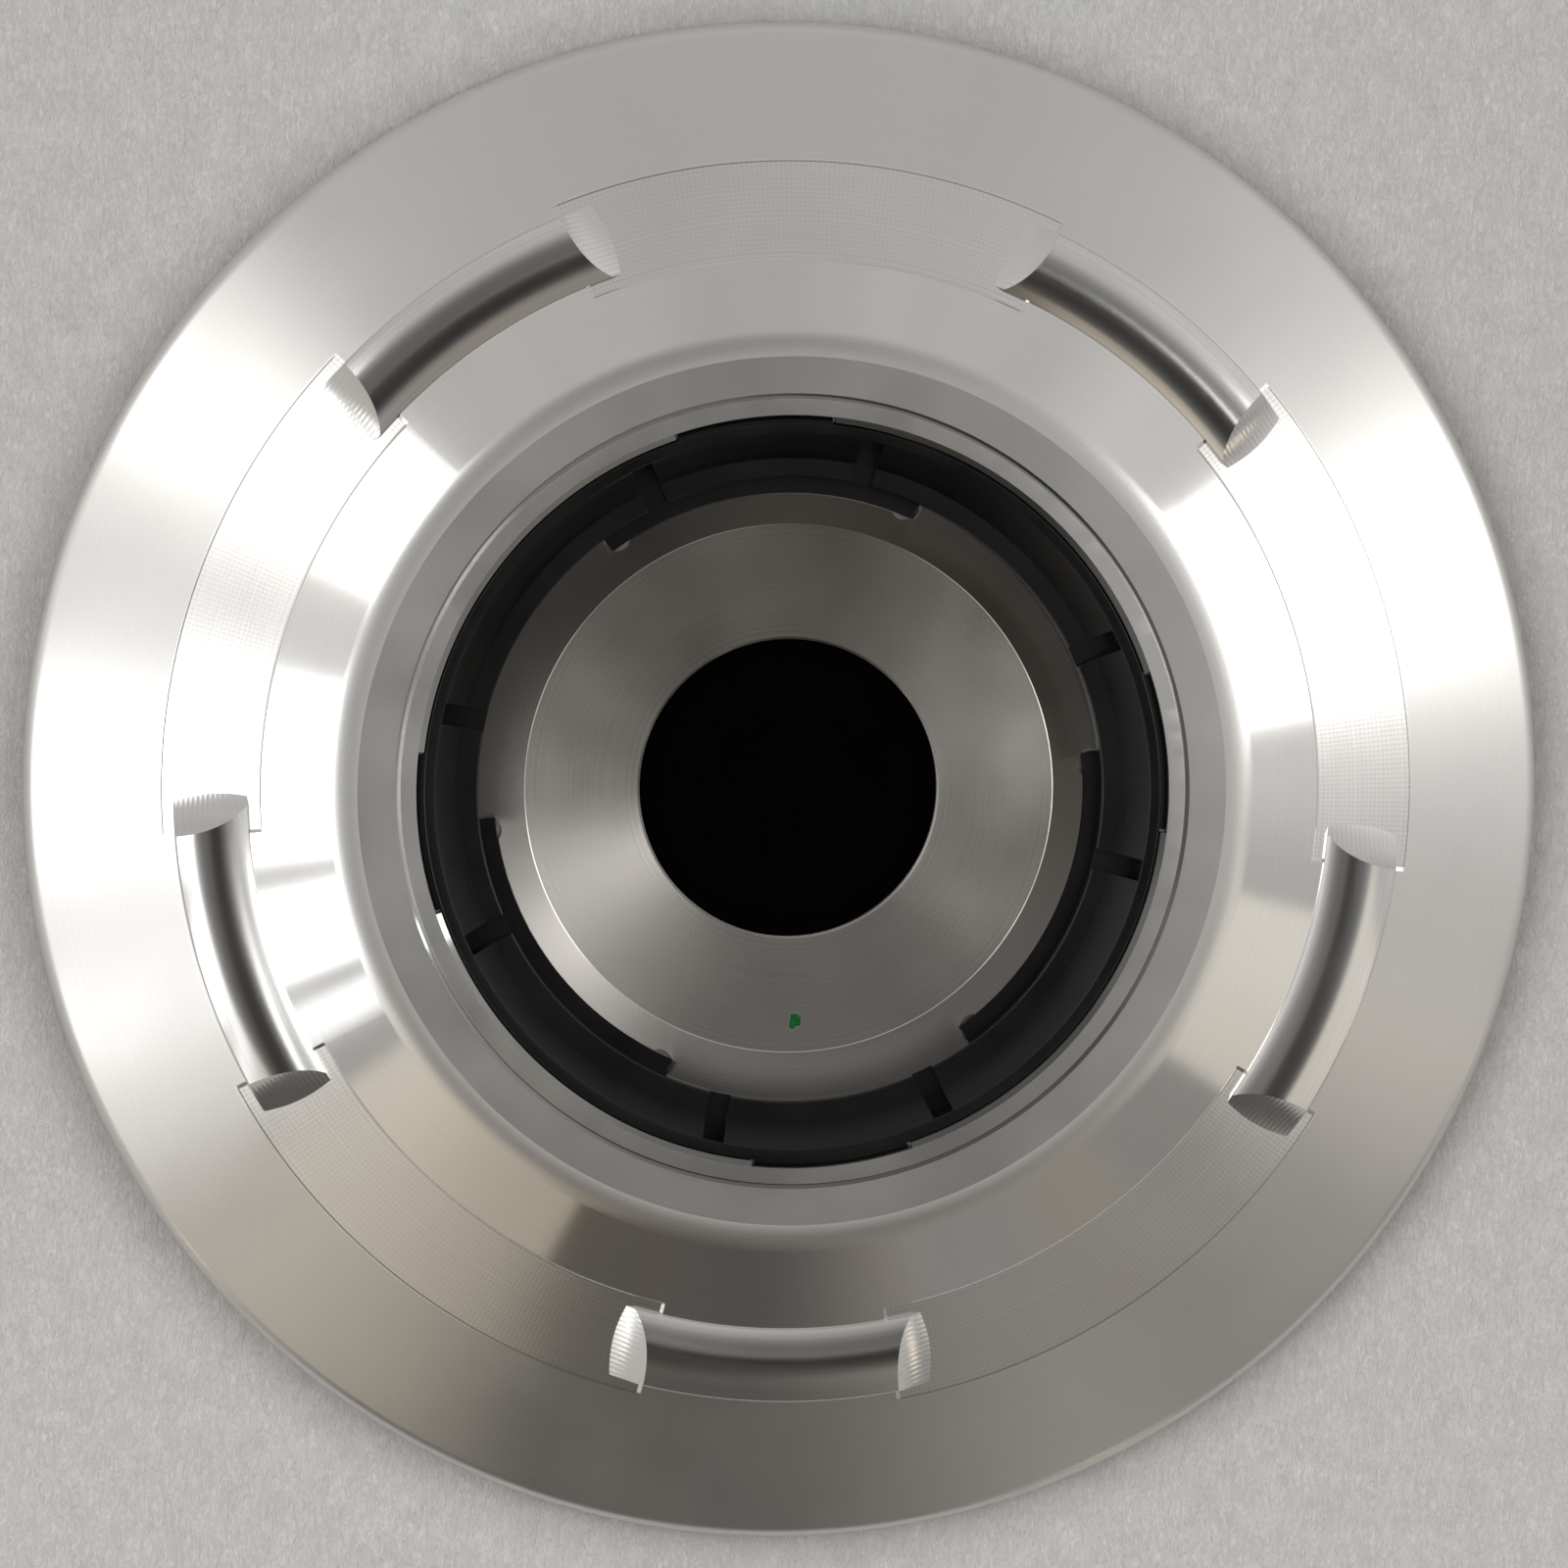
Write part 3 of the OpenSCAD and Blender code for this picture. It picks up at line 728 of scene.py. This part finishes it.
def rib_mesh(s, v, name, materials):
    """One rib at its first place, with the hollow of a round tool at each end."""
    bm = bmesh.new()
    past_foot, step = math.radians(0.6), math.radians(0.8)
    body = s.rib_foot_span / 2 + past_foot
    closed_sector(bm, rib_section_points(s, v), s.rib_first - body, 2 * body, step)
    rib = make_object(bm, name, materials)
    for side in (-1, 1):
        carve(rib, end_tool(s, v, side, materials))
    return rib


class CAP_OT_ribs(bpy.types.Operator):
    """Mill the ribs and repeat them about the axis"""

    bl_idname = "cap.milled_ribs"
    bl_label = "Milled ribs"

    def execute(self, context):
        s, f = context.scene.cap_sizes, context.scene.cap_finish
        v = cap_levels(s)
        top = turned_metal("rib_polish", f.rib, f.rib_roughness, 0.3, 0, 3e-4, cloud=0.06)
        end = turned_metal("rib_end_milled", f.rib, f.rib_roughness * 1.5, 0.1, 0, 3e-4)
        rib = rib_mesh(s, v, "milled_ribs", [top, end])
        bm = bmesh.new()
        bm.from_mesh(rib.data)
        one = bm.verts[:] + bm.edges[:] + bm.faces[:]
        for i in range(1, s.rib_count):
            copy = bmesh.ops.duplicate(bm, geom=one)["geom"]
            verts = [g for g in copy if isinstance(g, bmesh.types.BMVert)]
            bmesh.ops.rotate(bm, verts=verts, cent=(0, 0, 0),
                             matrix=Matrix.Rotation(i * FULL_TURN / s.rib_count, 3, 'Z'))
        bm.to_mesh(rib.data)
        bm.free()
        shade(rib.data, math.radians(12))
        dress(rib, "turned_aluminium", "cap_body")
        return {'FINISHED'}


# ---- the clip ring ----

def clip_section_points(s, v):
    """Section of the clip ring: a short bore, a ledge, a sloping face and a rounded top edge."""
    edge, soft = 0.0003, 0.0001
    slope_r, slope_z = v.clip_r - s.clip_edge, v.clip_top - s.clip_edge_fall
    ledge_z = v.floor_z + s.clip_bore_height
    nose = (s.clip_bore + s.clip_nose, ledge_z - s.clip_nose)
    top_edge = (v.clip_r - edge, v.clip_top - edge)
    return [(v.clip_r, v.floor_z), *arc(top_edge, edge, 0, QUARTER_TURN),
            (slope_r + 2 * soft, slope_z + 1.2 * soft), (slope_r - soft, slope_z - soft),
            (s.clip_ledge, ledge_z), *arc(nose, s.clip_nose, QUARTER_TURN, 2 * QUARTER_TURN),
            (s.clip_bore, v.floor_z)]


def slit_cutter(s, v):
    """Blocks that cut the slits on both sides of each finger."""
    bm = bmesh.new()
    past_bore = 0.001
    inner, outer = s.clip_bore - past_bore, v.clip_r - s.slit_wall
    size = Matrix.Diagonal((outer - inner, s.slit_width, s.recess_depth, 1))
    at = Matrix.Translation(((inner + outer) / 2, 0, v.floor_z + s.slit_base + s.recess_depth / 2))
    for pair in spans(s.finger_count, s.clip_turn, s.finger_span):
        for turn in pair:
            bmesh.ops.create_cube(bm, size=1, matrix=Matrix.Rotation(turn, 4, 'Z') @ at @ size)
    return make_object(bm, "slit_cutter", [])


def hooks_and_feet(s, v):
    """The hooks in the lip's windows and the feet in the floor's pockets, as closed solids."""
    bm = bmesh.new()
    hook_root, foot_root, foot_rise = 0.0006, 0.0004, 0.0005
    hook_top = v.clip_top - s.clip_edge_fall / 2
    hook_r = v.bore_r + s.hook_reach
    hook_in = v.clip_r - hook_root
    hook = [(hook_in, v.hook_z), (hook_r, v.hook_z), (hook_r, hook_top - s.hook_chamfer),
            (hook_r - s.hook_chamfer, hook_top), (hook_in, hook_top)]
    for a, b in spans(s.finger_count, s.clip_turn, s.hook_span):
        closed_sector(bm, hook, a, b - a)
    root_z = v.floor_z + foot_rise
    grow_r = max(s.clip_bore, s.pocket_radius) + foot_root
    in_r, out_r = s.pocket_radius + s.clip_gap, v.key_out - s.clip_gap
    low, top = v.floor_z - s.pocket_depth, v.floor_z - s.foot_sunk
    foot = [(in_r, low), (out_r, low), (out_r, root_z), (grow_r, root_z), (grow_r, top),
            (in_r, top)]
    width = s.pocket_span - 2 * s.clip_gap / s.pocket_radius
    for a, b in spans(s.foot_count, s.key_first + s.clip_turn, width):
        closed_sector(bm, foot, a, b - a)
    bmesh.ops.recalc_face_normals(bm, faces=bm.faces)
    return bm


class CAP_OT_clip_ring(bpy.types.Operator):
    """Mould the clip ring, with its snap fingers, hooks and feet"""

    bl_idname = "cap.clip_ring"
    bl_label = "Clip ring"

    def execute(self, context):
        s, f = context.scene.cap_sizes, context.scene.cap_finish
        v = cap_levels(s)
        plastic = moulded_plastic("clip_plastic", f.clip, f.clip_roughness, 0.38)
        bm = bmesh.new()
        full_spin(bm, clip_section_points(s, v), 288)
        ring = make_object(bm, "clip_ring_moulded", [plastic])
        carve(ring, slit_cutter(s, v))
        parts = hooks_and_feet(s, v)
        parts.from_mesh(ring.data)
        parts.to_mesh(ring.data)
        parts.free()
        shade(ring.data, math.radians(20))
        dress(ring, "black_plastic", "clip_ring")
        return {'FINISHED'}


# ---- the plug ----

class CAP_OT_plug(bpy.types.Operator):
    """Mould the plug that closes the centre hole"""

    bl_idname = "cap.centre_plug"
    bl_label = "Centre plug"

    def execute(self, context):
        s, f = context.scene.cap_sizes, context.scene.cap_finish
        v = cap_levels(s)
        skirt = s.hole_radius - s.plug_gap
        top, seat = v.hole_z - s.plug_below, v.hub_z + s.plug_head
        edge = 0.0002
        head, inner = s.plug_head_radius, skirt - s.plug_wall
        points = [(0, v.hub_z), (head - edge, v.hub_z), (head, v.hub_z + edge), (head, seat),
                  (skirt, seat), (skirt, top - edge), (skirt - edge, top), (inner + edge, top),
                  (inner, top - edge), (inner, seat), (0, seat)]
        bm = bmesh.new()
        full_spin(bm, points, 144, closed=False)
        plug = make_object(bm, "centre_plug_moulded",
                           [moulded_plastic("plug_plastic", f.plug, 0.8, 0.01)])
        dress(plug, "plug_plastic", "centre_plug")
        return {'FINISHED'}


# ---- the stage ----

COOL = (0.98, 0.99, 1)
WHITE = (1, 0.99, 0.97)
WARM = (1, 0.93, 0.8)
WARMER = (1, 0.88, 0.7)
AMBER = (1, 0.86, 0.62)

# name, azimuth, zenith, (width, height), radiance, colour
LAMPS = (
    ("right_window", 15, 46, (0.34, 0.78), 1.8, WHITE),
    ("right_window_top", 2, 14, (0.045, 0.19), 3.0, WHITE),
    ("small_lamp", 6.9, 21.6, (0.026, 0.04), 3.0, (0.95, 0.99, 1)),
    ("upper_left_window", 149.5, 44, (0.235, 0.84), 1.75, WHITE),
    ("left_window_a", 186.5, 44, (0.27, 0.8), 2.0, COOL),
    ("left_window_b", 206.9, 44, (0.125, 0.8), 1.9, COOL),
    ("left_window_c", 217.3, 44, (0.055, 0.8), 1.1, COOL),
    ("warm_wall", 240, 40, (0.36, 0.8), 0.34, WARMER),
    ("warm_lamp", 335, 42, (0.26, 0.7), 0.4, WARM),
    ("low_lamp_226", 226, 74, (0.09, 0.16), 1.6, AMBER),
    ("low_lamp_300", 300, 74, (0.09, 0.16), 1.6, AMBER),
    ("low_lamp_338", 338, 74, (0.09, 0.16), 1.6, AMBER),
)


def light_panel(name, azimuth, zenith, size, radiance, rgb):
    """A rectangular soft light that faces the cap; radiance is what a mirror would show of it."""
    data = bpy.data.lights.new(name, 'AREA')
    data.shape = 'RECTANGLE'
    data.size, data.size_y = size
    data.energy = radiance * size[0] * size[1] * math.pi
    data.color = rgb
    obj = bpy.data.objects.new(name, data)
    a, t = math.radians(azimuth), math.radians(zenith)
    away = Vector((math.sin(t) * math.cos(a), math.sin(t) * math.sin(a), math.cos(t)))
    side = Vector((-math.sin(a), math.cos(a), 0))
    turn = Matrix((side, away.cross(side), away)).transposed().to_4x4()
    obj.matrix_world = Matrix.Translation(away * LAMP_DISTANCE) @ turn
    bpy.context.scene.collection.objects.link(obj)


def felt_material(rgb):
    """Pale felt: fibres that lie mostly one way, soft pits, a painted contact shadow in a ring
    round the cap, and painted shade that darkens it towards +y.
    """
    n = material_nodes("felt")
    point = n.point()
    combed = n.vector('MULTIPLY', {0: point, 1: (2.2, 0.8, 1)})
    pits = n.noise(point, 260.0, detail=6.0, roughness=0.65)
    fibres = n.noise(combed, 900.0, detail=4.0, roughness=0.7, distortion=2.0)
    height = n.math('MULTIPLY_ADD', fibres, 4e-4, n.math('MULTIPLY', pits, 5e-4))
    tone = n.math('MULTIPLY_ADD', fibres, 0.75, n.math('MULTIPLY', pits, 0.25))
    rim = DISC_BOX[1][0]
    # painted contact shadow: the felt's colour darkens towards the cap's rim
    near = n.ramp(n.about_axis(point)[0], rim - 0.001, rim + 0.007, 0.78, 1.0, 'SMOOTHSTEP')
    # painted shade: the felt's colour darkens towards +y, as where light falls off
    painted_light_gradient = n.ramp(n.split(point)[1], 0.03, -0.08, 0.94, 1.0)
    felt = n.tint(rgb, n.ramp(tone, 0.32, 0.68), 0.8, 1.16)
    felt = n.vector('SCALE', {0: felt, "Scale": n.math('MULTIPLY', near, painted_light_gradient)})
    n.set(Base_Color=felt, Roughness=0.95, Specular_IOR_Level=0.1, Normal=n.bump(height, 0.7))
    return n.owner


def room_world(strength):
    """A room with light and dark sides, a dark ceiling, faint patches and a warm side."""
    world = bpy.data.worlds.new("room")
    bpy.context.scene.world = world
    n = Nodes(world, "Background")
    way = n.add("ShaderNodeTexCoord").outputs["Generated"]
    x, y, up = n.split(way)
    level = n.vector('NORMALIZE', {0: n.flat(x, y)})

    def side(azimuth, low, high, out_low, out_high):
        """A value that changes towards one azimuth; low and high are cosines of the angle to it."""
        a = math.radians(azimuth)
        near = n.vector('DOT_PRODUCT', {0: level, 1: (math.cos(a), math.sin(a), 0)}, "Value")
        return n.ramp(near, low, high, out_low, out_high, 'SMOOTHSTEP')

    patches = n.noise(way, 5.0, detail=4.0, roughness=0.6)
    person = n.math('MULTIPLY', side(314, 0.93, 0.995, 0.0, 0.75), n.ramp(up, 0.9, 0.95))
    dim_side = side(284, 0.3, 0.75, 1.0, 0.55)
    dark_side = side(264, 0.86, 0.985, 1.0, 0.36)
    bright_side = side(17, 0.8, 1.0, 1.0, 1.35)
    left_side = side(166, 0.94, 1.0, 1.0, 1.5)
    ceiling = n.ramp(up, 0.88, 0.985, 1.0, 0.27, 'SMOOTHSTEP')
    light = strength
    for part in (dim_side, dark_side, bright_side, left_side, ceiling,
                 n.math('SUBTRACT', 1.0, person), n.ramp(patches, 0.3, 0.7, 0.86, 1.14)):
        light = n.math('MULTIPLY', part, light)
    warm = n.math('MULTIPLY', side(265, 0.2, 0.75, 0.0, 1.0), n.ramp(patches, 0.45, 0.6))
    tone = n.mix(warm, (1.0, 0.985, 0.96, 1), (1.0, 0.9, 0.76, 1))
    n.set(Color=tone, Strength=light)


class CAP_OT_stage(bpy.types.Operator):
    """Lay the felt, set the lights and place the camera"""

    bl_idname = "cap.stage"
    bl_label = "Stage"

    def execute(self, context):
        t, f = context.scene.cap_stage, context.scene.cap_finish
        bm = bmesh.new()
        below = Matrix.Translation((0, 0, -0.00005))
        bmesh.ops.create_grid(bm, x_segments=2, y_segments=2, size=1.5, matrix=below)
        make_object(bm, "felt_floor", [felt_material(f.felt)])
        room_world(t.sky)
        for lamp in LAMPS:
            light_panel(*lamp)
        place_camera(t)
        return {'FINISHED'}


def place_camera(t):
    """Puts the camera where the photograph was taken from, near the axis and leaning slightly."""
    data = bpy.data.cameras.new("camera")
    camera = bpy.data.objects.new("camera", data)
    bpy.context.scene.collection.objects.link(camera)
    data.sensor_width = 36
    data.lens = t.lens
    data.clip_start = 0.01
    away = Vector((math.sin(t.tilt) * math.cos(t.tilt_towards),
                   math.sin(t.tilt) * math.sin(t.tilt_towards), math.cos(t.tilt)))
    right = Vector((math.cos(t.roll), math.sin(t.roll), 0))
    right = (right - right.dot(away) * away).normalized()
    up = away.cross(right)
    target = Vector((0, 0, 0.002))
    turn = Matrix((right, up, away)).transposed().to_4x4()
    camera.matrix_world = Matrix.Translation(target + t.distance * away) @ turn
    bpy.context.scene.camera = camera


# ---- sidebar, registration and the run ----

PIECES = (CAP_OT_turned_disc, CAP_OT_ribs, CAP_OT_clip_ring, CAP_OT_plug, CAP_OT_stage)


class CAP_PT_sidebar(bpy.types.Panel):
    """Lists the pieces of the cap and its stage"""

    bl_idname = "CAP_PT_sidebar"
    bl_label = "Centre cap"
    bl_space_type = 'VIEW_3D'
    bl_region_type = 'UI'
    bl_category = "Centre cap"

    def draw(self, context):
        for piece in PIECES:
            self.layout.operator(piece.bl_idname)


GROUPS = (CapSizes, CapFinish, StageSettings)


def register():
    for cls in GROUPS + PIECES + (CAP_PT_sidebar,):
        bpy.utils.register_class(cls)
    bpy.types.Scene.cap_sizes = PointerProperty(type=CapSizes)
    bpy.types.Scene.cap_finish = PointerProperty(type=CapFinish)
    bpy.types.Scene.cap_stage = PointerProperty(type=StageSettings)


def unregister():
    for name in ("cap_sizes", "cap_finish", "cap_stage"):
        delattr(bpy.types.Scene, name)
    for cls in reversed(GROUPS + PIECES + (CAP_PT_sidebar,)):
        bpy.utils.unregister_class(cls)


def main():
    register()
    bpy.ops.cap.turned_disc()
    bpy.ops.cap.milled_ribs()
    bpy.ops.cap.clip_ring()
    bpy.ops.cap.centre_plug()
    bpy.ops.cap.stage()
    bpy.context.scene.view_settings.view_transform = 'Standard'


if __name__ == "__main__":
    main()
